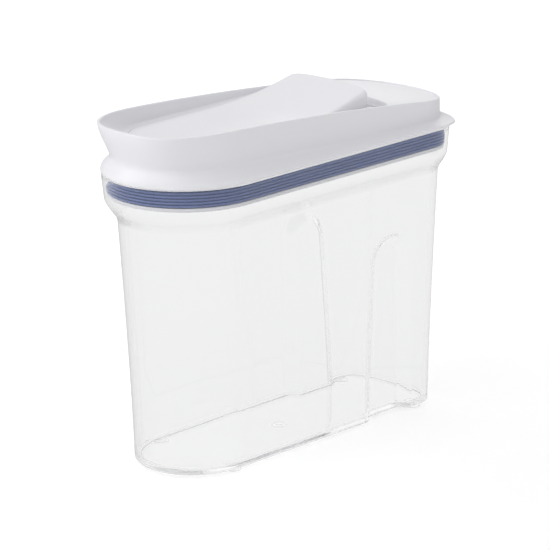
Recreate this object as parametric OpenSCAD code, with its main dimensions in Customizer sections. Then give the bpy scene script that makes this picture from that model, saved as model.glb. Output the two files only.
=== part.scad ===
// Clear upright keeper for dry food, with a lift-off lid and a pouring flap that
// flips up between the walls of a flared spout. Millimetres, +Z up, spout towards -X,
// origin on the table under the middle of the object.

/* [Overall] */
// Length over the spout nose and the rear lifting lip
overall_length = 250; // [220:1:310]
// Width over the lid's skirt
lid_width = 106; // [96:1:122]
// Height of the container's rim above the table
rim_height = 183.1; // [150:1:230]

/* [Container] */
// Width of the container just above its base
base_width = 75.4; // [68:0.2:84]
// Width of the container under its shoulder
neck_width = 87; // [80:0.2:92]
// Width inside the container's rim, at the foot of its band
mouth_width = 99.6; // [93:0.2:110]
// Thickness of the clear wall
wall = 2.2; // [1.6:0.1:3.2]
// Thickness of the rim band, which the gasket presses against
rim_wall = 1.5; // [1.2:0.1:2.4]
// Thickness of the floor
floor_thickness = 2.6; // [2:0.1:4]
// Radius along the bottom edge
base_radius = 3.2; // [2:0.1:4.5]
// Reach of the rear face behind the rear centre, at the base
base_rear_reach = 19.3; // [16:0.1:26]
// Slope of the rear face, in degrees
rear_draft = 3.1; // [0:0.1:5]
// Height of the band that holds the lid's gasket
rim_band = 15; // [14:0.5:24]
// Height of the flare under the rim band
shoulder_height = 16; // [12:0.5:24]
// Diameter of a moulded foot
foot_diameter = 9.6; // [6:0.1:12]
// Height of a moulded foot
foot_height = 1.5; // [0.8:0.1:3]
// Distance of a foot from the middle plane
foot_offset = 32.4; // [26:0.1:36]

/* [Grip recesses] */
// Middle of the grips, in front of the rear centre
grip_setback = 25.6; // [20:0.5:34]
// Width of a grip at the base, where it leaves the wall
grip_width = 40; // [32:0.5:48]
// Height of the top of the arch
grip_height = 120.5; // [80:0.5:135]
// Depth of a grip
grip_depth = 6.4; // [3:0.1:8]
// Width of the slope at a grip's edge
grip_ramp = 7; // [4:0.1:9]
// Narrowing of a grip towards its arch, in degrees each side
grip_draft = 1.6; // [0:0.1:4]

/* [Lid] */
// Width of the lid above its skirt
lid_neck_width = 87.8; // [84:0.2:94]
// Height of the spout nose above the skirt's edge
nose_height = 31.9; // [24:0.2:42]
// Height of the rear deck's far edge above the skirt's edge
deck_height = 12.9; // [11:0.1:18]
// Reach of the rim's nose in front of the front centre
nose_reach = 52.7; // [50:0.1:60]
// Reach of the rear lip behind the rear centre
lip_reach = 40; // [38:0.1:48]
// Reach of the deck behind the rear centre
deck_reach = 37.5; // [32:0.1:40]
// Height of the cove between skirt and wall, under the nose
cove_front = 11; // [9:0.2:14]
// Height of the same cove at the rear
cove_rear = 4.8; // [4:0.2:10]
// Thickness of the lid's walls
lid_wall = 2; // [1.4:0.1:3]
// Height of the ledge round the flap above the skirt's edge
ledge_height = 20.6; // [18:0.1:23]
// Height of the pocket floor under the flap above the skirt's edge
pocket_height = 6.6; // [5.6:0.1:9]
// Reach of the finger scoop behind the hinge
scoop_reach = 28.4; // [25:0.2:34]
// Width of the finger scoop
scoop_width = 80.6; // [74:0.2:82]

/* [Flap] */
// Width of the flap
flap_width = 70.6; // [60:0.2:72]
// Reach of the flap in front of the front centre
flap_nose = 36.5; // [34:0.1:40]
// Thickness of the flap's skin
skin = 1.8; // [1.2:0.1:2.4]
// Height of the crest above the ledge
crest_rise = 10.5; // [8:0.1:13]
// Length of the slope that climbs to the crest
crest_run = 56; // [40:1:70]
// Gap round the flap
flap_gap = 0.4; // [0.3:0.05:0.8]
// Place of the hinge in front of the rear centre
hinge_setback = 44.7; // [42:0.5:54]
// Height of the hinge above the skirt's edge
hinge_height = 16.1; // [15:0.1:18]
// Reach of the flap's rear face behind the hinge
tail_reach = 7.3; // [5:0.1:8]
// Radius of the hinge pivots
pivot_radius = 3; // [2:0.1:4]
// Length of a pivot inside the lid's wall
pivot_length = 3.4; // [2:0.1:5]
// Clearance round a pivot
pivot_clearance = 0.06; // [0.03:0.01:0.1]

/* [Seals] */
// Number of ribs on the gasket
rib_count = 5; // [3:1:7]
// Depth of a rib
rib_depth = 1.2; // [0.6:0.1:1.8]
// Gap between the gasket's ribs and the rim
gasket_gap = 0.3; // [0.2:0.05:0.5]
// Width of the land that the flap's seal presses on
seal_land = 4; // [3:0.1:5]

/* [Hidden] */
$fn = 48;

front_steps = 20;    // facets round the front end
rear_steps = 16;     // facets round the rear end
seat = 0.3;          // gap between resting surfaces of different bodies

front_x = -overall_length / 2 + nose_reach;
rear_x = overall_length / 2 - lip_reach;

// Shape of the ends: 2 is a circle, more is squarer
round_end = 2;
nose_end = 2.8;
deck_end = 2.2;
squared_end = 3;
lip_end = 2.75;

function mix(a, b, t) = a + (b - a) * t;
function clamp(t) = max(0, min(1, t));
function smooth(t) = let (c = clamp(t)) c * c * (3 - 2 * c);
function signed_pow(v, p) = sign(v) * pow(abs(v), p);

// A closed outline, counter-clockwise from above: [reach, end shape] for the front and
// the rear, half-widths at the side stations, and the two centres.
function end_arc(centre, reach, half, shape, from, steps) = [
    for (k = [0:steps]) let (a = from + 180 * k / steps)
        [centre + reach * signed_pow(cos(a), 2 / shape), half * signed_pow(sin(a), 2 / shape)]
];
function outline(front, rear, side, xf = front_x, xr = rear_x) = concat(
    end_arc(xr, rear[0], rear[2], rear[1], -90, rear_steps),
    [for (k = [len(side) - 1:-1:0]) side[k]],
    end_arc(xf, front[0], front[2], front[1], 90, front_steps),
    [for (p = side) [p[0], -p[1]]]
);
function at_height(points, z) = [for (p = points) [p[0], p[1], is_num(z) ? z : z(p[0])]];

// Skin through rings of equal length. The last ring joins the first, or the two ends are
// zipped up across the middle plane, point to mirrored point.
function zip_faces(n, base, up) = [
    for (j = [rear_steps / 2:rear_steps / 2 + n / 2 - 1])
        let (m = (rear_steps - j + n) % n, a = base + j, b = a + 1, c = base + (m + n - 1) % n, d = base + m)
        each up ? [if (b != c) [a, c, b], if (a != d) [a, d, c]]
            : [if (b != c) [a, b, c], if (a != d) [a, c, d]]
];
module skin_over(rings, joined = false) {
    n = len(rings[0]);
    count = len(rings);
    walls = [
        for (i = [0:joined ? count - 1 : count - 2], j = [0:n - 1])
            let (a = i * n, b = ((i + 1) % count) * n, k = (j + 1) % n)
            each [[a + j, b + j, b + k], [a + j, b + k, a + k]]
    ];
    ends = joined ? [] : concat(zip_faces(n, 0, false), zip_faces(n, (count - 1) * n, true));
    polyhedron([for (r = rings) each r], concat(walls, ends), convexity = 8);
}

// ---- container ----

base_z = foot_height;
wall_z = base_z + base_radius;
band_z = rim_height - rim_band;
shoulder_z = band_z - shoulder_height;
inner_z = base_z + floor_thickness;
inner_radius = 4;    // radius along the inner bottom edge
belly = 1.35;        // how late the side wall swells
band_draft = 1.3;    // widening of the rim band over its height
rim_round = 0.6;
rim_flare = 10.5;    // how far the rim reaches behind the base

grip_x = rear_x - grip_setback;
grip_half = grip_width / 2;
grip_spring = (grip_height - grip_half) / (1 - tan(grip_draft));
arch_radius = grip_height - grip_spring;
inner_grow = 1.2;    // keeps the wall's thickness through the slopes of a grip

function flare(z) = smooth((z - shoulder_z) / shoulder_height);
function side_half(z) =
    mix(base_width, neck_width, pow(clamp((z - wall_z) / (shoulder_z - wall_z)), belly)) / 2;
function band_spread(z) = band_draft * clamp((z - band_z) / rim_band);
function body_half(z) = mix(side_half(z), mouth_width / 2 + rim_wall, flare(z)) + band_spread(z);
function body_rear(z) = base_rear_reach + band_spread(z)
    + mix((min(z, shoulder_z) - wall_z) * tan(rear_draft), rim_flare, flare(z));

// How far a grip sinks in at a point of the side wall
function grip_reach(z) = z < grip_spring ? grip_half - z * tan(grip_draft) : arch_radius;
function grip_at(x, z, grow) =
    let (d = z < grip_spring ? abs(x - grip_x) : norm([x - grip_x, z - grip_spring]))
    grip_depth * smooth((grip_reach(z) + grow - d) / grip_ramp);

// Side stations, as shares of the grip's half-width: close together on its two slopes.
// They draw in with the grip as it narrows into its arch.
grip_shares = [-1, -0.91, -0.81, -0.72, -0.6, -0.3, 0, 0.3, 0.6, 0.72, 0.81, 0.91, 1];
function grip_spread(z) =
    grip_reach(z) * sqrt(1 - 0.75 * pow(clamp((z - grip_spring) / arch_radius), 2));
function side_stations(z) = concat(
    [mix(front_x, grip_x - grip_half, 0.5)],
    [for (s = grip_shares) grip_x + s * (grip_spread(z) + inner_grow)]
);

// A level of the container's surface at height z, inset from the outer wall
function body_ring(z, inset, grow = 0, shape_z = -1) =
    let (sz = shape_z < 0 ? z : shape_z, half = body_half(sz) - inset, rear = body_rear(sz) - inset)
    at_height(outline([half, round_end, half], [rear, squared_end, half],
        [for (x = side_stations(z)) [x, half - grip_at(x, z, grow)]]), z);
function inner_inset(z) = mix(wall, rim_wall, flare(z));
function inner_ring(z) = body_ring(z, inner_inset(z), inner_grow);

arch_levels = [for (k = [0, 0.25, 0.47, 0.66, 0.82, 0.93, 1]) grip_spring + arch_radius * k];
shoulder_levels = [for (k = [0, 0.22, 0.4, 0.58, 0.78, 1]) shoulder_z + shoulder_height * k];
wall_levels = concat([for (k = [0, 0.3, 0.65]) mix(wall_z, grip_spring, k)], arch_levels, shoulder_levels);

module container() {
    base = [for (a = [0, 35, 65])
        body_ring(base_z + base_radius * (1 - cos(a)), base_radius * (1 - sin(a)), 0, wall_z)];
    outside = [for (z = wall_levels) body_ring(z, 0)];
    rim = [
        body_ring(rim_height - rim_round, 0),
        body_ring(rim_height, rim_round),
        body_ring(rim_height, inner_inset(rim_height) - rim_round),
        inner_ring(rim_height - rim_round)
    ];
    inside = [for (k = [len(wall_levels) - 1:-1:1]) inner_ring(wall_levels[k])];
    corner_z = inner_z + inner_radius;
    floor_edge = [for (a = [0, 30, 60, 90])
        body_ring(inner_z + inner_radius * (1 - sin(a)), wall + inner_radius * (1 - cos(a)),
            inner_grow, corner_z)];
    color([0.93, 0.95, 0.96, 0.4]) {
        skin_over(concat(base, outside, rim, inside, floor_edge));
        for (x = [front_x, rear_x], y = [-foot_offset, foot_offset])
            translate([x, y, 0]) cylinder(h = foot_height + seat, d = foot_diameter);
    }
}

// ---- lid shell ----

lid_z = rim_height + seat;
ledge_z = lid_z + ledge_height;
pocket_z = lid_z + pocket_height;
shelf_z = pocket_z - lid_wall - 0.2;
skirt_half = lid_width / 2;
neck_half = lid_neck_width / 2;
neck_front = neck_half + 3.7;   // the neck keeps a little more length under the nose
rim_bow = 1.68;                 // how late the rim falls towards the rear
lip_hollow = 1.9;               // 1 is the S of the front, more is hollower
lip_start = 19;                 // the lip begins to hang this far behind the straight sides
lip_edge = 0.28;                // share of the rear cove's height taken by the lip's edge
lip_droop = 1.5;                // how far the lip hangs below the skirt's edge
edge_round = 0.6;
inner_nose = 40;                // reach of the spout's inner foot
pocket_half = flap_width / 2 + flap_gap;
pocket_nose = flap_nose + flap_gap;
hinge_x = rear_x - hinge_setback;
hinge_z = lid_z + hinge_height;
tail_x = hinge_x + tail_reach;

// Height of the rim, which falls from the nose to the deck's far edge
function rim_at(x) =
    let (t = clamp((x - front_x + nose_reach) / (rear_x + deck_reach - front_x + nose_reach)))
    lid_z + mix(nose_height, deck_height, pow(t, rim_bow));
function cove_at(x) = mix(cove_front, cove_rear, clamp((x - front_x) / (rear_x - front_x)));
function ledge_at(x) = min(rim_at(x), ledge_z);

lid_stations = [0.13, 0.28, 0.44, 0.6, 0.74, 0.86, 0.93, 0.97];
function lid_sides(half, xr = rear_x) = [for (s = lid_stations) [mix(front_x, xr, s), half]];
function lid_outline(front, front_end, rear, rear_end, half) =
    outline([front, front_end, half], [rear, rear_end, half], lid_sides(half));

// Skirt: a cove from its edge (share 0) up to the neck (share 1), S-shaped in front and
// hollower towards the rear, where it ends in the thin lifting lip
function cove_rise(x, share) =
    let (t = clamp((x - front_x) / (rear_x - front_x)), edge = lip_edge * t)
    cove_at(x) * mix(pow(share, mix(1, lip_hollow, t)), min(1, 10 * share), edge);
function droop_at(x, share) = lip_droop * smooth((x - rear_x - lip_start) / 15) * pow(1 - share, 2);
function skirt_outline(share, inset) =
    let (spread = (1 + cos(180 * share)) / 2)
    lid_outline(
        mix(neck_front, nose_reach, spread) - inset, mix(2.15, round_end, spread),
        mix(deck_reach, lip_reach, spread) - inset, mix(deck_end, lip_end, spread),
        mix(neck_half, skirt_half, spread) - inset);
function skirt_ring(share, inset = 0) = at_height(skirt_outline(share, inset),
    function(x) lid_z + cove_rise(x, share) - droop_at(x, share));
function under_ring(share) = at_height(skirt_outline(share, lid_wall - 0.5),
    function(x) min(shelf_z, lid_z + max(share / 2, cove_rise(x, share) - lid_wall + 0.3)));

// Upper wall, which flares forward into the spout's nose
function wall_ring(s, inset = 0, drop = 0) =
    at_height(lid_outline(
        mix(neck_front, nose_reach, pow(sin(90 * s), 1.5)) - inset, mix(2.15, nose_end, s),
        deck_reach - inset, deck_end, neck_half - inset),
        function(x) mix(lid_z + cove_at(x), rim_at(x) - drop, s));

// Outline of the pocket round the flap, which widens behind it into the finger scoop
scoop_start = 12;               // the finger scoop's straight part behind the hinge
scoop_x = hinge_x + scoop_start;
function pocket_side(grow, rear_half) = [for (s = lid_stations)
    let (x = mix(front_x, scoop_x, s), widen = smooth((x - tail_x + 1) / (scoop_x - tail_x + 1)))
    [x, mix(pocket_half, rear_half, widen) + grow]];
function pocket_outline(grow, rear, rear_end, rear_half) =
    outline([pocket_nose + grow, round_end, pocket_half + grow], [rear + grow, rear_end, rear_half + grow],
        pocket_side(grow, rear_half), front_x, scoop_x);

// Throat: the pouring hole through the lid
throat_half = pocket_half - seal_land;
throat_nose = pocket_nose - seal_land;
throat_rear = 18;    // rounded part of the throat's rear end
throat_end = 3.5;    // its shape, nearly square
throat_x = hinge_x - 14 - throat_rear;
function throat_outline(grow) =
    outline([throat_nose + grow, round_end, throat_half + grow], [throat_rear + grow, throat_end, throat_half + grow],
        lid_sides(throat_half + grow, throat_x), front_x, throat_x);

// Underside of the rear deck, hollow behind the scoop
function hollow_at(x) =
    mix(shelf_z, rim_at(x) - lid_wall - 0.2, smooth((x - scoop_x - 4) / 8));

module lid_shell() {
    scoop_half = scoop_width / 2;
    scoop_rear = scoop_reach - scoop_start;
    skirt = concat([skirt_ring(0, edge_round)],
        [for (k = [0.06, 0.18, 0.32, 0.48, 0.66, 0.84]) skirt_ring(k)]);
    upper = [for (s = [0, 0.3, 0.62, 1]) wall_ring(s, 0, s * 0.8)];
    rim = [wall_ring(1, 0.5), wall_ring(1, lid_wall - 0.5), wall_ring(1, lid_wall, 0.8)];
    spout = [
        at_height(lid_outline(mix(inner_nose, nose_reach - lid_wall, 0.35), 2.3, deck_reach - lid_wall - 0.4,
            deck_end, neck_half - lid_wall - 0.1), function(x) min(rim_at(x), mix(ledge_z, rim_at(x), 0.3))),
        at_height(lid_outline(inner_nose, round_end, deck_reach - lid_wall - 1, deck_end,
            neck_half - lid_wall - 0.2), function(x) ledge_at(x))
    ];
    pocket = [
        at_height(pocket_outline(0, scoop_rear, 2.2, scoop_half), function(x) ledge_at(x)),
        at_height(pocket_outline(0, scoop_rear - 1.4, 2.3, scoop_half - 1), function(x) ledge_at(x) - 4),
        at_height(pocket_outline(0, scoop_rear - 8, squared_end, scoop_half - 3.6), pocket_z)
    ];
    throat = [at_height(throat_outline(0), pocket_z), at_height(throat_outline(0), shelf_z)];
    under = [
        at_height(pocket_outline(lid_wall, scoop_rear, 2.2, scoop_half - 0.4), shelf_z),
        at_height(pocket_outline(lid_wall + 0.4, scoop_rear + 0.6, 2.2, scoop_half - 0.4),
            function(x) hollow_at(x)),
        at_height(lid_outline(skirt_half - 8, round_end, deck_reach - lid_wall, deck_end,
            neck_half - lid_wall + 0.2), function(x) hollow_at(x)),
        each [for (k = [0.85, 0.6, 0.4, 0.2]) under_ring(k)],
        at_height(skirt_outline(0, lid_wall + 0.2), lid_z)
    ];
    color([0.95, 0.95, 0.97]) difference() {
        skin_over(concat(skirt, upper, rim, spout, pocket, throat, under), joined = true);
        for (side = [-1, 1])
            translate([hinge_x, side * (pocket_half - 1), hinge_z]) rotate([-90 * side, 0, 0])
                cylinder(h = 1 + pivot_length + 0.3, r = pivot_radius + pivot_clearance);
    }
}

// ---- lid plug and gasket ----

plug_half = mouth_width / 2 - gasket_gap - rib_depth - 2;
flange_half = mouth_width / 2 - 0.5;
plug_bottom = lid_z - 13.8;
flange_height = 2.3;
groove_z = plug_bottom + flange_height;
groove_top = lid_z - 1.4;
mouth_rear = base_rear_reach + rim_flare - rim_wall;
collar_drop = 7;
plug_top = lid_z - 0.1;
raised_half = neck_half - lid_wall - 0.5;   // the plug's raised middle, inside the neck

function plug_outline(half) =
    let (inset = mouth_width / 2 - half)
    lid_outline(half, round_end, mouth_rear - inset, squared_end, half);

module band(low, high, outer, inner) {
    translate([0, 0, low]) linear_extrude(high - low) difference() {
        polygon(plug_outline(outer));
        polygon(plug_outline(inner));
    }
}

module lid_plug() {
    color([0.93, 0.93, 0.96]) union() {
        band(plug_bottom, plug_top, plug_half, plug_half - lid_wall);
        band(plug_bottom, groove_z, flange_half, plug_half - 1);
        band(groove_top, plug_top, flange_half, plug_half - 1);
        band(plug_top - lid_wall, plug_top, plug_half - 1, raised_half - lid_wall);
        band(plug_top - 1, shelf_z - 1, raised_half, raised_half - lid_wall);
        translate([0, 0, shelf_z - lid_wall]) linear_extrude(lid_wall) difference() {
            polygon(plug_outline(raised_half));
            polygon(throat_outline(0));
        }
        translate([0, 0, shelf_z - lid_wall - collar_drop]) linear_extrude(collar_drop + 0.5) difference() {
            polygon(throat_outline(lid_wall));
            polygon(throat_outline(0));
        }
    }
}

// Ribbed ring: every rib is a ridge between two valleys, and follows the drafted rim
function ridge_at(z) = mouth_width / 2 + band_spread(z) - gasket_gap;
module lid_gasket() {
    pitch = (groove_top - groove_z - 0.4) / rib_count;
    low = groove_z + 0.2;
    back = plug_half + 0.1;
    top = low + pitch * rib_count;
    ribs = [for (k = [0:rib_count - 1], p = [[0.04, 1], [0.26, 0.1], [0.74, 0.1]])
        let (z = low + pitch * (k + p[0]))
            at_height(plug_outline(ridge_at(z) - rib_depth * p[1]), z)];
    color([0.36, 0.40, 0.52]) skin_over(concat(ribs, [
        at_height(plug_outline(ridge_at(top) - rib_depth), top),
        at_height(plug_outline(back), top),
        at_height(plug_outline(back), low)
    ]), joined = true);
}

// ---- flap ----

flap_half = flap_width / 2;
seal_height = 3.2;   // from the pocket's floor to the liner
liner_z = pocket_z + seal_height;
liner_thickness = 1.8;
skin_z = liner_z + liner_thickness;
crest_round = 4;     // rounding along the crest's ends
nose_round = 0.7;    // rounding along the flap's front
tail_end = 6;        // the rear face is nearly straight between rounded corners
tail_depth = 5;
flap_spine = 8;      // x of the flap's plain middle
flap_span = 140;     // the edge's rounding draws the ends in as a share of this length
skin_gap = 0.6;      // the crown's fall at the flap's plain front edges

// Top surface: level with the ledge in front, climbing to a crowned crest at the rear
function climb(x) = pow(clamp((x - tail_x + crest_run) / crest_run), 1.25);
function flap_top(x, y) =
    let (rise = crest_rise * climb(x))
    ledge_z + 0.3 + rise + skin_gap - (skin_gap + 0.09 * rise) * pow(y / flap_half, 2);

function flap_outline(inset) =
    outline([flap_nose - inset, round_end, flap_half - inset], [tail_depth - min(inset, 3), tail_end, flap_half - inset],
        lid_sides(flap_half - inset, tail_x - tail_depth), front_x, tail_x - tail_depth);
// A ring of the top surface, drawn in towards the flap's long middle line by a factor
function top_ring(inset, k, drop) =
    [for (p = flap_outline(inset)) let (x = mix(flap_spine, p[0], 1 - 0.07 * (1 - k)), y = p[1] * k)
        [x, y, flap_top(x, y) - drop]];
// A ring of the rounded edge, at an angle round it
function edge_ring(a) =
    [for (p = flap_outline(0)) let (r = mix(nose_round, crest_round, climb(p[0])), in = r * (1 - cos(a)),
            x = mix(flap_spine, p[0], 1 - in / flap_span), y = p[1] * (1 - in / flap_half))
        [x, y, flap_top(x, y) - r * (1 - sin(a))]];

module spout_flap() {
    inside = [for (k = [0.06, 0.5, 0.8, 1]) top_ring(skin, k, skin)];
    wall_foot = at_height(flap_outline(skin), skin_z);
    foot = at_height(flap_outline(0), skin_z);
    edge = [for (a = [0, 35, 65]) edge_ring(a)];
    outside = [for (k = [0.9, 0.72, 0.48, 0.24, 0.05]) top_ring(0, k, 0)];
    color([0.96, 0.96, 0.98]) difference() {
        skin_over(concat(inside, [wall_foot, foot], edge, outside));
        translate([hinge_x, 0, hinge_z]) rotate([90, 0, 0])
            cylinder(h = flap_width + 2, r = pivot_radius + 0.3, center = true);
    }
}

module ring_plate(low, high, outer, inner) {
    translate([0, 0, low]) linear_extrude(high - low) difference() {
        polygon(outer);
        polygon(inner);
    }
}

barrel_radius = 5;
barrel_half = flap_half - 6;   // half-length of the barrel between the pivots
upstand = 4;         // height of the liner's rim inside the flap's skin
upstand_wall = 1.3;
module ahead_of(x) {
    intersection() {
        children();
        translate([x - overall_length, -flap_width / 2]) square([overall_length, flap_width]);
    }
}
module flap_liner() {
    tray_rear = hinge_x + 5;     // the tray stops short so that it can turn in the pocket
    color([0.93, 0.93, 0.96]) union() {
        translate([0, 0, liner_z]) linear_extrude(liner_thickness)
            ahead_of(tray_rear) polygon(flap_outline(0));
        translate([0, 0, liner_z + liner_thickness / 2]) linear_extrude(liner_thickness / 2 + upstand)
            ahead_of(hinge_x) difference() {
                polygon(flap_outline(skin + seat));
                polygon(flap_outline(skin + seat + upstand_wall));
            }
        translate([hinge_x, 0, hinge_z]) rotate([90, 0, 0]) {
            cylinder(h = barrel_half * 2, r = barrel_radius, center = true);
            cylinder(h = (pocket_half + pivot_length) * 2, r = pivot_radius, center = true);
        }
    }
}

module flap_seal() {
    land = 0.3;
    color([0.80, 0.82, 0.86]) {
        ring_plate(liner_z - 1, liner_z, throat_outline(seal_land - 0.8), throat_outline(land));
        ring_plate(pocket_z + seat, liner_z - 1, throat_outline(seal_land - 1.4), throat_outline(land + 0.6));
    }
}

container();
lid_shell();
lid_plug();
lid_gasket();
spout_flap();
flap_liner();
flap_seal();
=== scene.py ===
import math
import bpy
from mathutils import Matrix, Vector


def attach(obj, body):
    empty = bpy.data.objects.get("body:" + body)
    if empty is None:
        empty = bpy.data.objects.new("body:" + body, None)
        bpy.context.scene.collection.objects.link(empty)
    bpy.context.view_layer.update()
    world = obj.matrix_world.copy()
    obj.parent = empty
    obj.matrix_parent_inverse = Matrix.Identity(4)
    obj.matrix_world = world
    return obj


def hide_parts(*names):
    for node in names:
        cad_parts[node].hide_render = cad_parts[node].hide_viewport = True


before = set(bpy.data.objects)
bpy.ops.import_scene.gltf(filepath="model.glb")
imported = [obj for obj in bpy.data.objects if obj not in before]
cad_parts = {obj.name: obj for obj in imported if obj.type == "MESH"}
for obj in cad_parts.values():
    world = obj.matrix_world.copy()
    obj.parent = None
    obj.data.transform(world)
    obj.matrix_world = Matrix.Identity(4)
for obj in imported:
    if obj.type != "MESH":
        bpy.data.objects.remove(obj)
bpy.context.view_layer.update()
print("frame loaded:", ", ".join(sorted(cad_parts)))

# millimetres and degrees, in the CAD's frame, except where a note says metres
keeper = {
    "frontX": -72.3,      # centre of the round front end
    "rearX": 85.0,        # centre of the squarer rear end
    "rimHeight": 183.1,   # the container's rim
    "seat": 0.3,          # gap between lid and rim
    "hairline": 0.01,     # keeps feet and gate mark just clear of the base
    "frontSteps": 64, "rearSteps": 48, "lidSteps": 40, "turnSteps": 48,
}
frontX = keeper["frontX"]
rearX = keeper["rearX"]
lidZ = keeper["rimHeight"] + keeper["seat"]
tiny = 1e-6


def mix(a, b, t):
    return a + (b - a) * t


def clamp(t):
    return max(0.0, min(1.0, t))


def smooth(t):
    t = clamp(t)
    return t * t * (3 - 2 * t)


def turn(angle):
    return math.cos(math.radians(angle)), math.sin(math.radians(angle))


# a rounded edge, angle by angle: (radius less its cosine part, radius less its sine part)
def rounding(radius, angles):
    return [(radius * (1 - co), radius * (1 - si)) for co, si in map(turn, angles)]


# values from the first to the last, each stretch cut into its own number of steps
def levels(pairs):
    found = [pairs[0][0]]
    for (low, count), (high, _) in zip(pairs, pairs[1:]):
        found += [mix(low, high, k / count) for k in range(1, count + 1)]
    return found


def signedPow(v, p):
    return math.copysign(abs(v) ** p, v) if abs(v) > tiny else 0.0


# half a superellipse; shape 2 is round and higher is squarer
def endArc(centre, reach, shape, half, start, steps):
    points = []
    for k in range(steps + 1):
        co, si = turn(start + 180 * k / steps)
        points.append((centre + reach * signedPow(co, 2 / shape), half * signedPow(si, 2 / shape)))
    return points


# counter-clockwise from above: rear end, +Y side from rear to front, front end, -Y side;
# an end is (reach, shape, half width)
def outline(front, rear, side, xf=frontX, xr=rearX):
    back = endArc(xr, *rear, -90, keeper["rearSteps"])
    nose = endArc(xf, *front, 90, keeper["frontSteps"])
    return back + list(reversed(side)) + nose + [(x, -y) for x, y in side]


def atHeight(points, z):
    return [(x, y, z(x) if callable(z) else z) for x, y in points]


def makeObject(name, mesh, material):
    piece = bpy.data.objects.new(name, mesh)
    bpy.context.scene.collection.objects.link(piece)
    mesh.materials.clear()
    mesh.materials.append(material)
    return piece


def shadeRound(mesh, sharpAngle):
    mesh.polygons.foreach_set("use_smooth", [True] * len(mesh.polygons))
    mesh.set_sharp_from_angle(angle=math.radians(sharpAngle))


def meshPiece(name, points, faces, material, sharpAngle):
    mesh = bpy.data.meshes.new(name)
    mesh.from_pydata([(x / 1000, y / 1000, z / 1000) for x, y, z in points], [], faces)
    mesh.validate()
    shadeRound(mesh, sharpAngle)
    return makeObject(name, mesh, material)


def distinct(items):
    return list(dict.fromkeys(items))


# a skin through rings of equal length; unless its ends are joined, each is zipped up
# across the middle plane
def skinPiece(name, rings, material, joined=False, sharpAngle=38):
    n, count = len(rings[0]), len(rings)
    faces = []
    for i in range(count if joined else count - 1):
        a, b = i * n, ((i + 1) % count) * n
        for j in range(n):
            k = (j + 1) % n
            faces.append((a + j, a + k, b + k, b + j))
    if not joined:
        rearSteps = keeper["rearSteps"]
        for base, facesUp in ((0, False), ((count - 1) * n, True)):
            for j in range(rearSteps // 2, rearSteps // 2 + n // 2):
                m = (rearSteps - j) % n
                cap = distinct([base + j, base + (j + 1) % n, base + (m - 1) % n, base + m])
                if len(cap) > 2:
                    faces.append(cap if facesUp else cap[::-1])
    return meshPiece(name, [point for ring in rings for point in ring], faces, material, sharpAngle)


# a closed turned solid at each centre; the profile is (radius, height) from the axis out and back
def turnedPiece(name, profile, centres, material, sharpAngle=50):
    steps = keeper["turnSteps"]
    points, faces = [], []
    for cx, cy in centres:
        rows = []
        for radius, z in profile:
            around = 1 if radius < tiny else steps
            rows.append([len(points) + k for k in range(around)])
            for co, si in (turn(360 * k / steps) for k in range(around)):
                points.append((cx + radius * co, cy + radius * si, z))
        for low, high in zip(rows, rows[1:]):
            for k in range(steps):
                m = (k + 1) % steps
                face = distinct([low[k % len(low)], low[m % len(low)],
                                 high[m % len(high)], high[k % len(high)]])
                if len(face) > 2:
                    faces.append(face)
    return meshPiece(name, points, faces, material, sharpAngle)


def addSocket(tree, name, direction, kind, value=None):
    socket = tree.interface.new_socket(name=name, in_out=direction, socket_type="NodeSocket" + kind)
    if value is not None:
        socket.default_value = value


# a node with its settings; each input takes a value, another node's socket, or a node's first output
def addNode(tree, kind, inputs=None, **settings):
    node = tree.nodes.new(kind)
    for key, value in settings.items():
        setattr(node, key, value)
    for key, value in (inputs or {}).items():
        if isinstance(value, bpy.types.Node):
            value = value.outputs[0]
        if isinstance(value, bpy.types.NodeSocket):
            tree.links.new(value, node.inputs[key])
        else:
            node.inputs[key].default_value = value
    return node


moulding = {
    "defaults": {"Tone Drift": 0.02, "Flow Scale": 14.0, "Texture Scale": 1400.0,
                 "Rough Low": 0.3, "Rough High": 0.36, "Height": 0.02, "Flow Height": 0.0},
    "flowLow": 0.3, "flowHigh": 0.7,              # the part of the flow noise that the roughness spans
    "flowDetail": 2, "textureDetail": 3,
    "flowDepth": 0.0004, "textureDepth": 0.00005,   # metres
}


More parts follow.
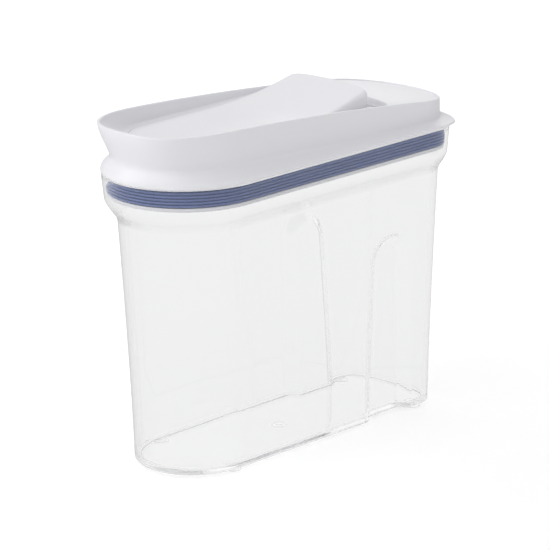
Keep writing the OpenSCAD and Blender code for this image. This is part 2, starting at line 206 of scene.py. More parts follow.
# tone and roughness drift slowly over a moulded part, with a fine mould texture on top
def mouldedSurfaceGroup():
    tree = bpy.data.node_groups.new("mouldedSurface", "ShaderNodeTree")
    addSocket(tree, "Base", "INPUT", "Color", (0.8, 0.8, 0.8, 1))
    for name, value in moulding["defaults"].items():
        addSocket(tree, name, "INPUT", "Float", value)
    for name, kind in (("Color", "Color"), ("Roughness", "Float"), ("Normal", "Vector")):
        addSocket(tree, name, "OUTPUT", kind)
    given = addNode(tree, "NodeGroupInput").outputs
    where = addNode(tree, "ShaderNodeTexCoord").outputs["Object"]
    flow = addNode(tree, "ShaderNodeTexNoise", {
        "Vector": where, "Scale": given["Flow Scale"], "Detail": moulding["flowDetail"]})
    fine = addNode(tree, "ShaderNodeTexNoise", {
        "Vector": where, "Scale": given["Texture Scale"], "Detail": moulding["textureDetail"]})
    centred = addNode(tree, "ShaderNodeMath", {0: flow, 1: 0.5}, operation="SUBTRACT")
    drift = addNode(tree, "ShaderNodeMath", {0: centred, 1: given["Tone Drift"], 2: 1.0},
                    operation="MULTIPLY_ADD")
    tone = addNode(tree, "ShaderNodeVectorMath", {0: given["Base"], "Scale": drift}, operation="SCALE")
    rough = addNode(tree, "ShaderNodeMapRange", {
        "Value": flow, "From Min": moulding["flowLow"], "From Max": moulding["flowHigh"],
        "To Min": given["Rough Low"], "To Max": given["Rough High"]})
    wave = addNode(tree, "ShaderNodeBump", {
        "Height": flow, "Distance": moulding["flowDepth"], "Strength": given["Flow Height"]})
    grain = addNode(tree, "ShaderNodeBump", {
        "Height": fine, "Distance": moulding["textureDepth"], "Strength": given["Height"], "Normal": wave})
    addNode(tree, "NodeGroupOutput", {"Color": tone, "Roughness": rough, "Normal": grain})
    return tree


mouldedSurface = mouldedSurfaceGroup()


# a moulded finish: the group's inputs in values, and the shader's own plain sockets after them
def plastic(name, values, **sockets):
    material = bpy.data.materials.new(name)
    material.use_nodes = True
    tree = material.node_tree
    shader = tree.nodes["Principled BSDF"]
    group = addNode(tree, "ShaderNodeGroup", values, node_tree=mouldedSurface)
    for made, used in (("Color", "Base Color"), ("Roughness", "Roughness"), ("Normal", "Normal")):
        tree.links.new(group.outputs[made], shader.inputs[used])
    for key, value in sockets.items():
        shader.inputs[key.replace("_", " ")].default_value = value
    return material


finishes = {
    "white": {"Base": (0.78, 0.78, 0.81, 1), "Tone Drift": 0.03,
              "Rough Low": 0.29, "Rough High": 0.34, "Height": 0.2},
    "clear": {"Base": (0.985, 0.987, 0.987, 1), "Tone Drift": 0.004, "Flow Scale": 9.0,
              "Rough Low": 0.012, "Rough High": 0.03, "Height": 0.0, "Flow Height": 0.08},
    "grey": {"Base": (0.13, 0.18, 0.385, 1), "Tone Drift": 0.03,
             "Rough Low": 0.3, "Rough High": 0.36, "Height": 0.03},
    "pale": {"Base": (0.62, 0.64, 0.68, 1), "Tone Drift": 0.05,
             "Rough Low": 0.45, "Rough High": 0.55, "Height": 0.4},
}
whitePlastic = plastic("whitePlastic", finishes["white"], IOR=1.5, Specular_IOR_Level=0.5)
clearPlastic = plastic("clearPlastic", finishes["clear"], IOR=1.53, Transmission_Weight=1.0)
greySilicone = plastic("greySilicone", finishes["grey"], IOR=1.43, Specular_IOR_Level=0.5)
paleSilicone = plastic("paleSilicone", finishes["pale"], IOR=1.43, Specular_IOR_Level=0.4)
print("finishes made")

container = {
    "baseHalf": 37.7, "neckHalf": 43.5, "mouthHalf": 49.8,   # base, below the shoulder, inside the mouth
    "wall": 2.2, "rimWall": 1.5, "floor": 2.6,
    "baseRadius": 1.9, "taperStart": 3.2, "innerRadius": 3.0,
    "baseFlat": 4.0, "floorFlat": 3.0,                       # flat rim round the zipped base and floor
    "rearReach": 19.3, "rearDraft": 3.1, "rimFlare": 10.5, "rearShape": 3.0,
    "rimBand": 15.0, "shoulder": 16.0, "bandDraft": 1.3, "belly": 1.35, "rimRound": 0.4,
    "gripX": 59.4, "gripHalf": 20.0, "gripTop": 120.5, "gripDepth": 6.4, "gripRamp": 7.0, "gripDraft": 1.6,
    "gripMargin": 2.0, "innerGrow": 1.2,                     # the grip is this much wider on the inside
    "sideSteps": 12, "gripSteps": 36, "sharpAngle": 60,
}
baseFoot = {"radius": 4.8, "height": 1.5, "offset": 32.4, "edge": 0.5, "bevel": 0.15}
gateMark = {    # the small round mark that moulding leaves under the middle of the base
    "centre": (-2.5, 0),
    "profile": [(0, 0.35), (0.9, 0.4), (1.3, 0.75), (1.7, 1.0),
                (3.6, 1.05), (4.2, 0.75), (4.7, 0.7), (5.0, 1.0)],
    "radius": 5.1,
}
baseZ = baseFoot["height"]
wallZ = baseZ + container["taperStart"]
rimZ = keeper["rimHeight"]
bandZ = rimZ - container["rimBand"]
shoulderZ = bandZ - container["shoulder"]
innerZ = baseZ + container["floor"]
gripTan = math.tan(math.radians(container["gripDraft"]))
gripSpring = (container["gripTop"] - container["gripHalf"]) / (1 - gripTan)   # where the grip's arch begins
archRadius = container["gripTop"] - gripSpring
gripLeft = container["gripX"] - container["gripHalf"] - container["gripMargin"]
gripRight = rearX - container["gripMargin"]
sideX = levels([(frontX, container["sideSteps"]), (gripLeft, container["gripSteps"]), (gripRight, 0)])[1:]


def flare(z):
    return smooth((z - shoulderZ) / container["shoulder"])


def bandSpread(z):
    return container["bandDraft"] * clamp((z - bandZ) / container["rimBand"])


def wallShare(z):
    return clamp((z - wallZ) / (shoulderZ - wallZ))


def bodyHalf(z):
    side = mix(container["baseHalf"], container["neckHalf"], wallShare(z) ** container["belly"])
    return mix(side, container["mouthHalf"] + container["rimWall"], flare(z)) + bandSpread(z)


def bodyRear(z):
    lean = wallShare(z) * (shoulderZ - wallZ) * math.tan(math.radians(container["rearDraft"]))
    return container["rearReach"] + bandSpread(z) + mix(lean, container["rimFlare"], flare(z))


def gripAt(x, z, grow):
    reach, far = container["gripHalf"] - z * gripTan, abs(x - container["gripX"])
    if z >= gripSpring:
        reach, far = archRadius, math.hypot(x - container["gripX"], z - gripSpring)
    return container["gripDepth"] * smooth((reach + grow - far) / container["gripRamp"])


def bodyRing(z, inset, grow=0.0, shapeZ=None):
    outerZ = z if shapeZ is None else shapeZ
    half, rear = bodyHalf(outerZ) - inset, bodyRear(outerZ) - inset
    return atHeight(outline((half, 2.0, half), (rear, container["rearShape"], half),
                            [(x, half - gripAt(x, z, grow)) for x in sideX]), z)


def innerInset(z):
    return mix(container["wall"], container["rimWall"], flare(z))


def makeContainer():
    base, edge, corner = container["baseRadius"], container["rimRound"], container["innerRadius"]
    wall, grow = container["wall"], container["innerGrow"]
    cornerZ = innerZ + corner
    rimWall = innerInset(rimZ)
    wallLevels = levels([
        (baseZ + base, 2), (wallZ, 12), (gripSpring - 4, 22), (container["gripTop"] + 2, 5),
        (shoulderZ, 14), (bandZ, 3), (rimZ - edge, 0)])
    rings = [bodyRing(baseZ, base + container["baseFlat"], 0, wallZ)]
    rings += [bodyRing(baseZ + up, inset, 0, wallZ) for up, inset in rounding(base, range(0, 90, 10))]
    rings += [bodyRing(z, 0) for z in wallLevels]
    rings += [bodyRing(rimZ - drop, inset) for inset, drop in rounding(edge, range(15, 90, 15))]
    rings += [bodyRing(rimZ, edge), bodyRing(rimZ, rimWall - edge)]
    rings += [bodyRing(rimZ - drop, rimWall - inset) for inset, drop in rounding(edge, range(75, 0, -15))]
    rings += [bodyRing(z, innerInset(z), grow) for z in reversed(wallLevels) if z > cornerZ + 1]
    rings += [bodyRing(innerZ + up, wall + inset, grow, cornerZ)
              for inset, up in rounding(corner, range(0, 91, 10))]
    rings.append(bodyRing(innerZ, wall + corner + container["floorFlat"], grow, cornerZ))
    return skinPiece("clearBody", rings, clearPlastic, sharpAngle=container["sharpAngle"])


def makeFeet():
    r, edge, bevel = baseFoot["radius"], baseFoot["edge"], baseFoot["bevel"]
    top = baseZ - keeper["hairline"]
    profile = [(0, 0), (r - edge, 0), (r - bevel, bevel), (r, edge), (r, top), (0, top)]
    places = [(x, y) for x in (frontX, rearX) for y in (-baseFoot["offset"], baseFoot["offset"])]
    return turnedPiece("baseFeet", profile, places, clearPlastic)


def makeGate():
    top = baseZ - keeper["hairline"]
    return turnedPiece("gateMark", gateMark["profile"] + [(gateMark["radius"], top), (0, top)],
                       [gateMark["centre"]], clearPlastic)


clearBody, baseFeet, gatePiece = makeContainer(), makeFeet(), makeGate()
for piece in (clearBody, baseFeet, gatePiece):
    piece.visible_shadow = False
print("container made:", len(clearBody.data.polygons), "faces")

lid = {
    "skirtHalf": 52.9, "neckHalf": 43.9, "neckMore": 3.7,
    "noseReach": 52.7, "lipReach": 39.95, "deckReach": 37.5,      # from the end centres
    "noseHeight": 31.9, "deckHeight": 12.9, "rimBow": 1.68,       # rim over the seat, and how it falls
    "coveFront": 11.0, "coveRear": 4.5,
    "lipHollow": 3.2, "lipEdge": 0.2, "edgeShare": 0.1, "lipDroop": 1.5, "lipStart": 19.0, "lipRun": 15.0,
    "waistShape": 2.15, "noseShape": 2.8, "deckShape": 2.2, "lipShape": 2.75,
    "waistPower": 1.5,                                            # how soon the wall flares out
    "wall": 2.0, "skirtWall": 1.5, "coveWall": 1.7, "topWall": 2.2,
    "edgeRound": 0.7, "rimRound": 1.0, "rimDrop": 0.8,
    "edgeSteps": 5, "skirtSteps": 22, "wallSteps": 20, "spoutSteps": 14,
    # the spout's inside and the ledge at its foot
    "innerNose": 40.0, "spoutHollow": 0.35, "spoutPower": 1.3, "spoutDraft": 0.2, "ledgeHeight": 20.6,
    "footRings": ((0.15, 0.9, 0.2, 0.25), (-0.3, 1.3, 0.6, 0.0)),         # out, in behind, in beside, up
    # the flap's pocket, with the finger scoop behind it and the throat in its floor
    "hingeX": 40.3, "tailBack": 7.3, "pocketHeight": 6.6,
    "flapHalf": 35.3, "flapNose": 36.5, "flapGap": 0.4, "sealLand": 4.0,
    "scoopBack": 12.0, "scoopReach": 28.4, "scoopHalf": 40.3, "scoopShape": 2.2,
    "pocketEdge": ((0.6, 0.0), (0.3, 0.06), (0.1, 0.22), (0.0, 0.5)),     # out, down
    "scoopWall": ((1.0, 0.3, 0.2), (2.5, 0.8, 0.55), (4.0, 1.4, 1.0)),    # down, in behind, in beside
    "lowerWall": (0.2, 0.4, 0.6, 0.8, 0.93, 1.0), "lowerDrop": 4.0, "floorInset": 1.2,
    "lowerRear": (1.4, 4.0), "lowerShape": (2.3, 3.0), "lowerSide": (1.0, 3.6),
    "throatBack": 32.0, "throatReach": 18.0, "throatShape": 3.5, "throatRound": 0.3,
    # the underside
    "shelfSide": 0.4, "shelfGrow": 0.4, "shelfRear": 0.6,
    "hollowNose": 44.9, "hollowSide": 1.8, "hollowStart": 4.0, "hollowRun": 8.0,
    "underShares": (0.85, 0.7, 0.6, 0.5, 0.4, 0.3, 0.2),
}
lidWall = lid["wall"]
ledgeZ = lidZ + lid["ledgeHeight"]
pocketZ = lidZ + lid["pocketHeight"]
shelfZ = pocketZ - lid["topWall"]
neckFront = lid["neckHalf"] + lid["neckMore"]
tailX = lid["hingeX"] + lid["tailBack"]
scoopX = lid["hingeX"] + lid["scoopBack"]
throatX = lid["hingeX"] - lid["throatBack"]
pocketHalf = lid["flapHalf"] + lid["flapGap"]
pocketNose = lid["flapNose"] + lid["flapGap"]
throatHalf = pocketHalf - lid["sealLand"]
throatNose = pocketNose - lid["sealLand"]
scoopRear = lid["scoopReach"] - lid["scoopBack"]
scoopHalf = lid["scoopHalf"]
lidShares = [k / keeper["lidSteps"] for k in range(1, keeper["lidSteps"])]


def lidShare(x):
    return clamp((x - frontX) / (rearX - frontX))


def rimAt(x):
    noseX = frontX - lid["noseReach"]
    fallen = clamp((x - noseX) / (rearX + lid["deckReach"] - noseX))
    return lidZ + mix(lid["noseHeight"], lid["deckHeight"], fallen ** lid["rimBow"])


def innerTop(x):
    return rimAt(x) - lid["rimDrop"]


def ledgeAt(x, lift=0.0):
    return min(innerTop(x), ledgeZ + lift)


def coveAt(x):
    return mix(lid["coveFront"], lid["coveRear"], lidShare(x))


def hollowAt(x):
    t = smooth((x - scoopX - lid["hollowStart"]) / lid["hollowRun"])
    return mix(shelfZ, rimAt(x) - lid["topWall"], t)


def lidSides(half, xr=rearX):
    return [(mix(frontX, xr, s), half) for s in lidShares]


def lidOutline(front, frontShape, rear, rearShape, half):
    return outline((front, frontShape, half), (rear, rearShape, half), lidSides(half))


# height of the cove over the skirt's edge: S-shaped in front, hollower behind with a thin upright edge
def coveRise(x, share):
    t = lidShare(x)
    edge = clamp(share / lid["edgeShare"])
    return coveAt(x) * mix(share ** mix(1, lid["lipHollow"], t), edge, lid["lipEdge"] * t)


def droopAt(x, share):
    return lid["lipDroop"] * smooth((x - rearX - lid["lipStart"]) / lid["lipRun"]) * (1 - share) ** 2


# share runs from the skirt's lower edge (0) up the cove to the waist (1)
def skirtOutline(share, inset):
    spread = (1 + math.cos(math.pi * share)) / 2
    return lidOutline(
        mix(neckFront, lid["noseReach"], spread) - inset, mix(lid["waistShape"], 2.0, spread),
        mix(lid["deckReach"], lid["lipReach"], spread) - inset,
        mix(lid["deckShape"], lid["lipShape"], spread),
        mix(lid["neckHalf"], lid["skirtHalf"], spread) - inset)


def skirtRing(share, inset=0.0, lift=0.0):
    return atHeight(skirtOutline(share, inset),
                    lambda x: lidZ + lift + coveRise(x, share) - droopAt(x, share))


def underRing(share):
    return atHeight(skirtOutline(share, lid["skirtWall"]), lambda x: min(
        shelfZ, lidZ + max(share / 2, coveRise(x, share) - lid["coveWall"]) - droopAt(x, share)))


# the outer wall, from the waist (0) up to the rim (1)
def wallRing(s, inset=0.0, drop=0.0):
    front = mix(neckFront, lid["noseReach"], math.sin(math.pi / 2 * s) ** lid["waistPower"])
    return atHeight(
        lidOutline(front - inset, mix(lid["waistShape"], lid["noseShape"], s),
                   lid["deckReach"] - inset, lid["deckShape"], lid["neckHalf"] - inset),
        lambda x: mix(lidZ + coveAt(x), rimAt(x) - drop, s))


# the spout's inner wall, from the rim (0) down to its foot on the ledge (1)
def spoutRing(t):
    front = mix(lid["noseReach"] - lidWall, lid["innerNose"], mix(t, t * t, lid["spoutHollow"]))
    return atHeight(
        lidOutline(front, mix(lid["noseShape"], 2.0, t ** lid["spoutPower"]),
                   lid["deckReach"] - lidWall - t, lid["deckShape"],
                   lid["neckHalf"] - lidWall - lid["spoutDraft"] * t),
        lambda x: mix(innerTop(x), ledgeAt(x), t))


def footRing(front, rear, side, lift):
    return atHeight(
        lidOutline(lid["innerNose"] + front, 2.0, lid["deckReach"] - lidWall - rear, lid["deckShape"],
                   lid["neckHalf"] - lidWall - side),
        lambda x: ledgeAt(x, lift))


def pocketOutline(grow, rear, rearShape, rearHalf):
    side = []
    for s in lidShares:
        x = mix(frontX, scoopX, s)
        widen = smooth((x - tailX + 1) / (scoopX - tailX + 1))
        side.append((x, mix(pocketHalf, rearHalf, widen) + grow))
    return outline((pocketNose + grow, 2.0, pocketHalf + grow), (rear + grow, rearShape, rearHalf + grow),
                   side, frontX, scoopX)


def throatOutline(grow):
    half = throatHalf + grow
    return outline((throatNose + grow, 2.0, half), (lid["throatReach"] + grow, lid["throatShape"], half),
                   lidSides(half, throatX), frontX, throatX)


def makeLidShell():
    edge, shape = lid["edgeRound"], lid["scoopShape"]
    wallSteps, spoutSteps = lid["wallSteps"], lid["spoutSteps"]
    skirtShares = levels([(0, lid["edgeSteps"]), (lid["edgeShare"], lid["skirtSteps"]), (1, 0)])[:-1]
    rings = [skirtRing(0, inset, lift) for lift, inset in rounding(edge, range(0, 90, 15))]
    rings += [skirtRing(share, 0, edge * (1 - share)) for share in skirtShares]
    rings += [wallRing(k / wallSteps, 0, lid["rimDrop"] * k / wallSteps) for k in range(wallSteps + 1)]
    for co, si in map(turn, range(18, 181, 18)):        # fully rounded rim
        rings.append(wallRing(1, lid["rimRound"] * (1 - co), lid["rimDrop"] * (1 - si)))
    rings += [spoutRing(k / spoutSteps) for k in range(1, spoutSteps)]
    rings += [footRing(*values) for values in lid["footRings"]]
    for grow, drop in lid["pocketEdge"]:
        rings.append(atHeight(pocketOutline(grow, scoopRear, shape, scoopHalf), lambda x: ledgeAt(x) - drop))
    for drop, rear, side in lid["scoopWall"]:
        rings.append(atHeight(pocketOutline(0, scoopRear - rear, shape + drop / 40, scoopHalf - side),
                              lambda x: ledgeAt(x) - drop))
    for t in lid["lowerWall"]:
        grow = -lid["floorInset"] if t == 1.0 else 0    # the last ring lies on the pocket's floor
        rings.append(atHeight(
            pocketOutline(grow, scoopRear - mix(*lid["lowerRear"], t), mix(*lid["lowerShape"], t),
                          scoopHalf - mix(*lid["lowerSide"], t)),
            mix(ledgeZ - lid["lowerDrop"], pocketZ, t)))
    rings += [atHeight(throatOutline(lid["throatRound"]), pocketZ),
              atHeight(throatOutline(0), pocketZ - lid["throatRound"]),
              atHeight(throatOutline(0), shelfZ)]
    shelfHalf, grow = scoopHalf - lid["shelfSide"], lidWall + lid["shelfGrow"]
    rings += [atHeight(pocketOutline(lidWall, scoopRear, shape, shelfHalf), shelfZ),
              atHeight(pocketOutline(grow, scoopRear + lid["shelfRear"], shape, shelfHalf), hollowAt),
              atHeight(lidOutline(lid["hollowNose"], 2.0, lid["deckReach"] - lidWall, lid["deckShape"],
                                  lid["neckHalf"] - lid["hollowSide"]), hollowAt)]
    rings += [underRing(share) for share in lid["underShares"]]
    rings.append(atHeight(skirtOutline(0, lid["topWall"]), lidZ))
    return skinPiece("lidShell", rings, whitePlastic, joined=True)


lidShell = makeLidShell()
print("lid shell made:", len(lidShell.data.polygons), "faces")

plug = {
    "half": 46.3, "flangeHalf": 49.3, "raisedHalf": 41.4, "wall": 2.0, "mouthRear": 28.3, "rearShape": 3.0,
    "bottom": 13.8, "flange": 2.3, "grooveTop": 1.4, "topGap": 0.1, "collarDrop": 7.0,
    "bottomBevel": 0.4, "grooveBevel": 0.3, "topBevel": 0.2,
}
plugBottom = lidZ - plug["bottom"]
grooveZ = plugBottom + plug["flange"]
grooveTop = lidZ - plug["grooveTop"]


def plugOutline(half):
    return lidOutline(half, 2.0, plug["mouthRear"] + half - container["mouthHalf"], plug["rearShape"], half)


def makePlug():
    half, flange, raised, thick = plug["half"], plug["flangeHalf"], plug["raisedHalf"], plug["wall"]
    low, middle, high = plug["bottomBevel"], plug["grooveBevel"], plug["topBevel"]
    plateZ, topZ = shelfZ - thick, lidZ - plug["topGap"]
    collarZ = plateZ - plug["collarDrop"]
    profile = [
        (raised - thick, plateZ), (raised - thick, topZ - thick), (half - thick, topZ - thick),
        (half - thick, plugBottom), (flange - low, plugBottom), (flange, plugBottom + low),
        (flange, grooveZ - middle), (flange - middle, grooveZ), (half, grooveZ), (half, grooveTop),
        (flange - high, grooveTop), (flange, grooveTop + high), (flange, topZ), (raised, topZ),
        (raised, shelfZ)]
    rings = [atHeight(plugOutline(out), z) for out, z in profile]
    # the collar round the throat
    for grow, z in ((0, shelfZ), (0, collarZ), (thick, collarZ), (thick, plateZ)):
        rings.append(atHeight(throatOutline(grow), z))
    return skinPiece("lidPlug", rings, whitePlastic, joined=True)


lidPlug = makePlug()

gasket = {
    "ribs": 5, "ribRadius": 0.74, "ribSides": 14, "pitch": 1.94, "firstRib": 0.97, "pathHalf": 49.0,
    "coreWidth": 2.1, "coreHeight": 9.6, "coreShift": -1.65, "lift": 0.25, "sharpAngle": 50,
}


# a flat core band with evenly spaced round ribs, all swept along one closed outline and then
# leaned outwards with height, as the container's rim band leans
def gasketGroup():
    tree = bpy.data.node_groups.new("ribbedGasket", "GeometryNodeTree")
    addSocket(tree, "Geometry", "INPUT", "Geometry")
    addSocket(tree, "Ribs", "INPUT", "Int", gasket["ribs"])
    for name in ("Pitch", "Rib Radius", "First Rib", "Core Width", "Core Height", "Core Shift",
                 "Front X", "Rear X", "Lean"):
        addSocket(tree, name, "INPUT", "Float", 0.001)
    addSocket(tree, "Finish", "INPUT", "Material")
    addSocket(tree, "Geometry", "OUTPUT", "Geometry")
    given = addNode(tree, "NodeGroupInput").outputs

    path = addNode(tree, "GeometryNodeMeshToCurve", {"Mesh": given["Geometry"]})
    upright = addNode(tree, "GeometryNodeSetCurveNormal", {"Curve": path}, mode="Z_UP")
    bead = addNode(tree, "GeometryNodeCurvePrimitiveCircle", {
        "Resolution": gasket["ribSides"], "Radius": given["Rib Radius"]})
    ribSweep = addNode(tree, "GeometryNodeCurveToMesh", {"Curve": upright, "Profile Curve": bead})
    step = addNode(tree, "ShaderNodeCombineXYZ", {"Z": given["Pitch"]})
    start = addNode(tree, "ShaderNodeCombineXYZ", {"Z": given["First Rib"]})
    row = addNode(tree, "GeometryNodeMeshLine", {
        "Count": given["Ribs"], "Start Location": start, "Offset": step})
    ribs = addNode(tree, "GeometryNodeInstanceOnPoints", {"Points": row, "Instance": ribSweep})

    band = addNode(tree, "GeometryNodeCurvePrimitiveQuadrilateral", {
        "Width": given["Core Width"], "Height": given["Core Height"]})
    inward = addNode(tree, "ShaderNodeCombineXYZ", {"X": given["Core Shift"]})
    setBack = addNode(tree, "GeometryNodeTransform", {"Geometry": band, "Translation": inward})
    coreSweep = addNode(tree, "GeometryNodeCurveToMesh", {"Curve": upright, "Profile Curve": setBack})
    halfUp = addNode(tree, "ShaderNodeMath", {0: given["Core Height"], 1: 0.5}, operation="MULTIPLY")
    lift = addNode(tree, "ShaderNodeCombineXYZ", {"Z": halfUp})
    core = addNode(tree, "GeometryNodeTransform", {"Geometry": coreSweep, "Translation": lift})
    both = addNode(tree, "GeometryNodeJoinGeometry", {0: ribs})
    tree.links.new(core.outputs[0], both.inputs[0])
    real = addNode(tree, "GeometryNodeRealizeInstances", {0: both})

    place = addNode(tree, "GeometryNodeInputPosition")
    split = addNode(tree, "ShaderNodeSeparateXYZ", {0: place}).outputs
    held = addNode(tree, "ShaderNodeClamp", {
        "Value": split["X"], "Min": given["Front X"], "Max": given["Rear X"]})
    beyond = addNode(tree, "ShaderNodeMath", {0: split["X"], 1: held}, operation="SUBTRACT")
    across = addNode(tree, "ShaderNodeCombineXYZ", {"X": beyond, "Y": split["Y"]})
    unit = addNode(tree, "ShaderNodeVectorMath", {0: across}, operation="NORMALIZE")
    amount = addNode(tree, "ShaderNodeMath", {0: split["Z"], 1: given["Lean"]}, operation="MULTIPLY")
    outward = addNode(tree, "ShaderNodeVectorMath", {0: unit, "Scale": amount}, operation="SCALE")
    leaned = addNode(tree, "GeometryNodeSetPosition", {"Geometry": real, "Offset": outward})
    finish = addNode(tree, "GeometryNodeSetMaterial", {"Geometry": leaned, "Material": given["Finish"]})
    addNode(tree, "NodeGroupOutput", {"Geometry": finish})
    return tree


# runs a geometry node tree on a source mesh and keeps the result as a plain mesh
def growFromRule(name, source, tree, values, material, sharpAngle):
    holder = bpy.data.objects.new(name + "Rule", source)
    bpy.context.scene.collection.objects.link(holder)
    rule = holder.modifiers.new("rule", "NODES")
    rule.node_group = tree
    for item in tree.interface.items_tree:
        if item.item_type == "SOCKET" and item.in_out == "INPUT" and item.name in values:
            rule[item.identifier] = values[item.name]
    bpy.context.view_layer.update()
    mesh = bpy.data.meshes.new_from_object(holder.evaluated_get(bpy.context.evaluated_depsgraph_get()))
    mesh.name = name
    holder.modifiers.clear()
    bpy.data.objects.remove(holder)
    shadeRound(mesh, sharpAngle)
    return makeObject(name, mesh, material)


def makeGasket():
    points = [(x / 1000, y / 1000, 0) for x, y in plugOutline(gasket["pathHalf"])]
    source = bpy.data.meshes.new("gasketPath")
    source.from_pydata(points, [(i, (i + 1) % len(points)) for i in range(len(points))], [])
    lengths = {"Pitch": gasket["pitch"], "Rib Radius": gasket["ribRadius"], "First Rib": gasket["firstRib"],
               "Core Width": gasket["coreWidth"], "Core Height": gasket["coreHeight"],
               "Core Shift": gasket["coreShift"], "Front X": frontX, "Rear X": rearX}
    values = {key: value / 1000 for key, value in lengths.items()}
    values.update({"Ribs": gasket["ribs"], "Lean": container["bandDraft"] / container["rimBand"],
                   "Finish": greySilicone})
    piece = growFromRule("sealGasket", source, gasketGroup(), values, greySilicone, gasket["sharpAngle"])
    piece.data.transform(Matrix.Translation((0, 0, (grooveZ + gasket["lift"]) / 1000)))
    return piece


sealGasket = makeGasket()
print("plug and gasket made:", len(lidPlug.data.polygons), "and", len(sealGasket.data.polygons), "faces")

flap = {
    "skin": 1.8, "skinBottom": 5.0, "lift": 0.9,
    "crestRise": 10.5, "crestRun": 56.0, "crestPower": 1.65, "crestBack": 0.7, "crestNarrow": 1.8,
    "crown": 0.6, "crestCrown": 0.09,                 # lower at the sides: in mm, and as a share of the rise
    "noseRound": 0.9, "crestRound": 3.2, "edgeAngles": range(0, 73, 12),
    "roundSpan": 140.0,                               # length over which a rounded end draws in
    "tailShape": 6.0, "tailDepth": 5.0,
    "spineX": 8.0, "spinePull": 0.07,                 # the top's rings close in round a spine
    "underRings": (0.04, 0.3, 0.5, 0.7, 0.85, 1),
    "topRings": (0.9, 0.82, 0.72, 0.6, 0.48, 0.36, 0.24, 0.12, 0.03),
    "sharpAngle": 45,
}
crestX = tailX + flap["crestBack"]


def climb(x):
    return clamp((x - crestX + flap["crestRun"]) / flap["crestRun"]) ** flap["crestPower"]


def flapTop(x, y):
    rise = flap["crestRise"] * climb(x)
    crown = flap["crown"] + flap["crestCrown"] * rise
    return ledgeZ + flap["lift"] + rise - crown * (y / lid["flapHalf"]) ** 2


def flapOutline(inset):
    half = lid["flapHalf"] - inset
    centre = crestX - flap["tailDepth"]
    narrow = flap["crestNarrow"] / lid["flapHalf"]
    ring = outline((lid["flapNose"] - inset, 2.0, half), (flap["tailDepth"] - inset, flap["tailShape"], half),
                   lidSides(half, centre), frontX, centre)
    return [(x, y * (1 - narrow * climb(x))) for x, y in ring]


def topRing(inset, share, drop):
    ring = []
    for x, y in flapOutline(inset):
        x, y = mix(flap["spineX"], x, 1 - flap["spinePull"] * (1 - share)), y * share
        ring.append((x, y, flapTop(x, y) - drop))
    return ring


def edgeRing(angle):
    co, si = turn(angle)
    ring = []
    for px, py in flapOutline(0):
        radius = mix(flap["noseRound"], flap["crestRound"], climb(px))
        drawn = radius * (1 - co)
        x = mix(flap["spineX"], px, 1 - drawn / flap["roundSpan"])
        y = py * (1 - drawn / lid["flapHalf"])
        ring.append((x, y, flapTop(x, y) - radius * (1 - si)))
    return ring


def makeFlap():
    skin = flap["skin"]
    skinZ = pocketZ + flap["skinBottom"]
    rings = [topRing(skin, share, skin) for share in flap["underRings"]]
    rings += [atHeight(flapOutline(skin), skinZ), atHeight(flapOutline(0), skinZ)]
    rings += [edgeRing(angle) for angle in flap["edgeAngles"]]
    rings += [topRing(0, share, 0) for share in flap["topRings"]]
    return skinPiece("spoutFlap", rings, whitePlastic, sharpAngle=flap["sharpAngle"])


spoutFlap = makeFlap()
print("flap made:", len(spoutFlap.data.polygons), "faces")

for piece, body, nodes, slot in (
        (clearBody, "container", ["container"], "clear_plastic"),
        (baseFeet, "container", [], "clear_plastic"),
        (gatePiece, "container", [], "clear_plastic"),
        (lidShell, "lid", ["lid_shell"], "white_plastic"),
        (lidPlug, "lid", ["lid_plug"], "white_plastic"),
        (sealGasket, "lid", ["lid_gasket"], "grey_silicone"),
        (spoutFlap, "flap", ["spout_flap"], "white_plastic")):
    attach(piece, body)
    if nodes:
        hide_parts(*nodes)
# these two keep the CAD's own shape
for node, material in (("flap_liner", whitePlastic), ("flap_seal", paleSilicone)):
    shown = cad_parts[node]
    shown.data.materials.clear()
    shown.data.materials.append(material)
print("pieces set on their bodies")

# metres; Through, Mirrored and Seen are for rays through the clear plastic, mirrored rays and
# the camera's own rays
room = {
    "floorTone": (0.985, 0.985, 0.99), "floorReach": 7.0, "floorZ": -0.0005,
    "floorRoughness": 0.9, "floorGloss": 0.1,
    "floorThrough": 0.15, "floorMirrored": 0.08,
    "glowThrough": 0.425, "glowMirrored": 0.33, "glowSeen": 0.06,
    "skyThrough": 1.03, "skyMirrored": 0.45, "skySeen": 1.06,
    "skyLow": 0.2, "skyLight": 0.7, "skyFrom": 0.02, "skyTo": 0.5,      # near the horizon and higher up
    "aim": (0, 0, 0.12), "floorAim": (0.5, 0.7, 0),
    "transparentBounces": 16, "throughBounces": 32, "mirrorBounces": 256, "allBounces": 320,
}
# place, aim, width, height, power, mirrored
softboxes = {
    "backSoftbox": ((-1.2, 1.1, 1.15), room["aim"], 1.2, 1.0, 9.0, True),
    "topSoftbox": ((-1.1, 0.0, 1.4), room["aim"], 1.0, 1.0, 4.5, True),
    "frontSoftbox": ((-1.9, -0.7, 0.5), room["aim"], 0.7, 1.0, 4.0, True),
    "rightSoftbox": ((1.2, -1.2, 0.8), room["aim"], 0.9, 0.9, 4.8, False),
    "farSoftbox": ((1.5, 0.9, 0.9), room["aim"], 0.9, 0.9, 2.4, True),
    "floorSoftbox": ((0.5, 1.2, 1.1), room["floorAim"], 1.4, 0.5, 4.4, False),
}


# a number that changes with the kind of ray: the last kind that fits a ray decides
def byRay(tree, strength, path, choices):
    for ray, value in choices:
        strength = addNode(tree, "ShaderNodeMix", {0: path.outputs[ray], 2: strength, 3: value},
                           data_type="FLOAT")
    return strength


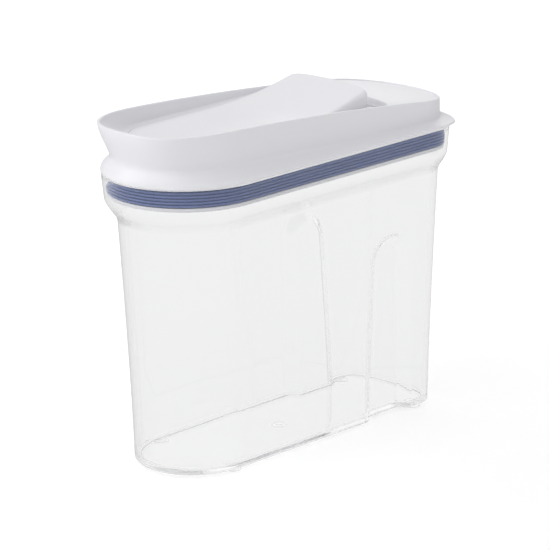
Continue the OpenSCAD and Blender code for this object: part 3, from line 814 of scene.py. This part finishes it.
# pale paint, darker where it is mirrored in the clear plastic or seen through it, and with a
# glow of its own for each kind of ray, so that the container's floor stays light
def floorPaint():
    material = bpy.data.materials.new("floorPaint")
    material.use_nodes = True
    tree = material.node_tree
    shader = tree.nodes["Principled BSDF"]
    path = addNode(tree, "ShaderNodeLightPath")
    share = byRay(tree, 1.0, path, (
        ("Is Glossy Ray", room["floorMirrored"]), ("Is Transmission Ray", room["floorThrough"])))
    tone = addNode(tree, "ShaderNodeVectorMath", {0: room["floorTone"], "Scale": share}, operation="SCALE")
    glow = 0.0
    for ray, strength in (
            ("Is Glossy Ray", room["glowMirrored"]), ("Is Transmission Ray", room["glowThrough"]),
            ("Is Camera Ray", room["glowSeen"])):
        glow = addNode(tree, "ShaderNodeMath", {0: path.outputs[ray], 1: strength, 2: glow},
                       operation="MULTIPLY_ADD")
    tree.links.new(tone.outputs[0], shader.inputs["Base Color"])
    tree.links.new(glow.outputs[0], shader.inputs["Emission Strength"])
    shader.inputs["Emission Color"].default_value = (1, 1, 1, 1)
    shader.inputs["Roughness"].default_value = room["floorRoughness"]
    shader.inputs["Specular IOR Level"].default_value = room["floorGloss"]
    material.cycles.emission_sampling = "NONE"
    return material


# a square that stands corner-on to the axes
def makeFloor():
    corner, z = room["floorReach"] * math.sqrt(2), room["floorZ"]
    mesh = bpy.data.meshes.new("floor")
    mesh.from_pydata([(0, -corner, z), (corner, 0, z), (0, corner, z), (-corner, 0, z)], [], [(0, 1, 2, 3)])
    makeObject("floor", mesh, floorPaint())


def makeSky():
    world = bpy.data.worlds.new("studio")
    bpy.context.scene.world = world
    world.use_nodes = True
    tree = world.node_tree
    tree.nodes.clear()
    path = addNode(tree, "ShaderNodeLightPath")
    where = addNode(tree, "ShaderNodeTexCoord").outputs["Generated"]
    split = addNode(tree, "ShaderNodeSeparateXYZ", {0: where})
    ramp = addNode(tree, "ShaderNodeMapRange", {
        "Value": split.outputs["Z"], "From Min": room["skyFrom"], "From Max": room["skyTo"],
        "To Min": room["skyLow"], "To Max": room["skyLight"]})
    strength = byRay(tree, ramp.outputs[0], path, (
        ("Is Glossy Ray", room["skyMirrored"]), ("Is Transmission Ray", room["skyThrough"]),
        ("Is Camera Ray", room["skySeen"])))
    sky = addNode(tree, "ShaderNodeBackground", {"Color": (1, 1, 1, 1), "Strength": strength})
    addNode(tree, "ShaderNodeOutputWorld", {"Surface": sky})


# no softbox is seen through the clear plastic, where it would leave a white streak
def makeSoftbox(name, place, target, width, height, power, mirrored):
    data = bpy.data.lights.new(name, "AREA")
    data.shape = "RECTANGLE"
    data.size, data.size_y = width, height
    data.energy = power
    light = bpy.data.objects.new(name, data)
    bpy.context.scene.collection.objects.link(light)
    light.location = place
    light.visible_glossy = mirrored
    light.visible_transmission = False
    light.rotation_mode = "QUATERNION"
    light.rotation_quaternion = (Vector(target) - Vector(place)).to_track_quat("-Z", "Y")


makeFloor()
makeSky()
for name, values in softboxes.items():
    makeSoftbox(name, *values)

lookout = {
    "place": (-1422.045, -1459.994, 727.828), "ahead": (0.66618, 0.68516, -0.29454), "roll": -1.125,
    "lens": 226.44, "sensor": 36, "reach": 50,      # the reach is in metres
}


# looks the way the photograph was taken
def makeCamera():
    ahead = Vector(lookout["ahead"]).normalized()
    right = ahead.cross(Vector((0, 0, 1))).normalized()
    up = right.cross(ahead)
    co, si = turn(lookout["roll"])
    right, up = right * co + up * si, up * co - right * si
    data = bpy.data.cameras.new("photoView")
    data.sensor_width = lookout["sensor"]
    data.lens = lookout["lens"]
    data.clip_end = lookout["reach"]
    camera = bpy.data.objects.new("photoView", data)
    bpy.context.scene.collection.objects.link(camera)
    turned = Matrix((right, up, -ahead)).transposed().to_4x4()
    camera.matrix_world = Matrix.Translation(Vector(lookout["place"]) / 1000) @ turned
    bpy.context.scene.camera = camera


makeCamera()
scene = bpy.context.scene
scene.view_settings.view_transform = "Standard"
scene.cycles.transparent_max_bounces = room["transparentBounces"]
scene.cycles.transmission_bounces = room["throughBounces"]
scene.cycles.glossy_bounces = room["mirrorBounces"]       # light runs far along inside the clear wall
scene.cycles.max_bounces = room["allBounces"]
print("room, lights and camera set")
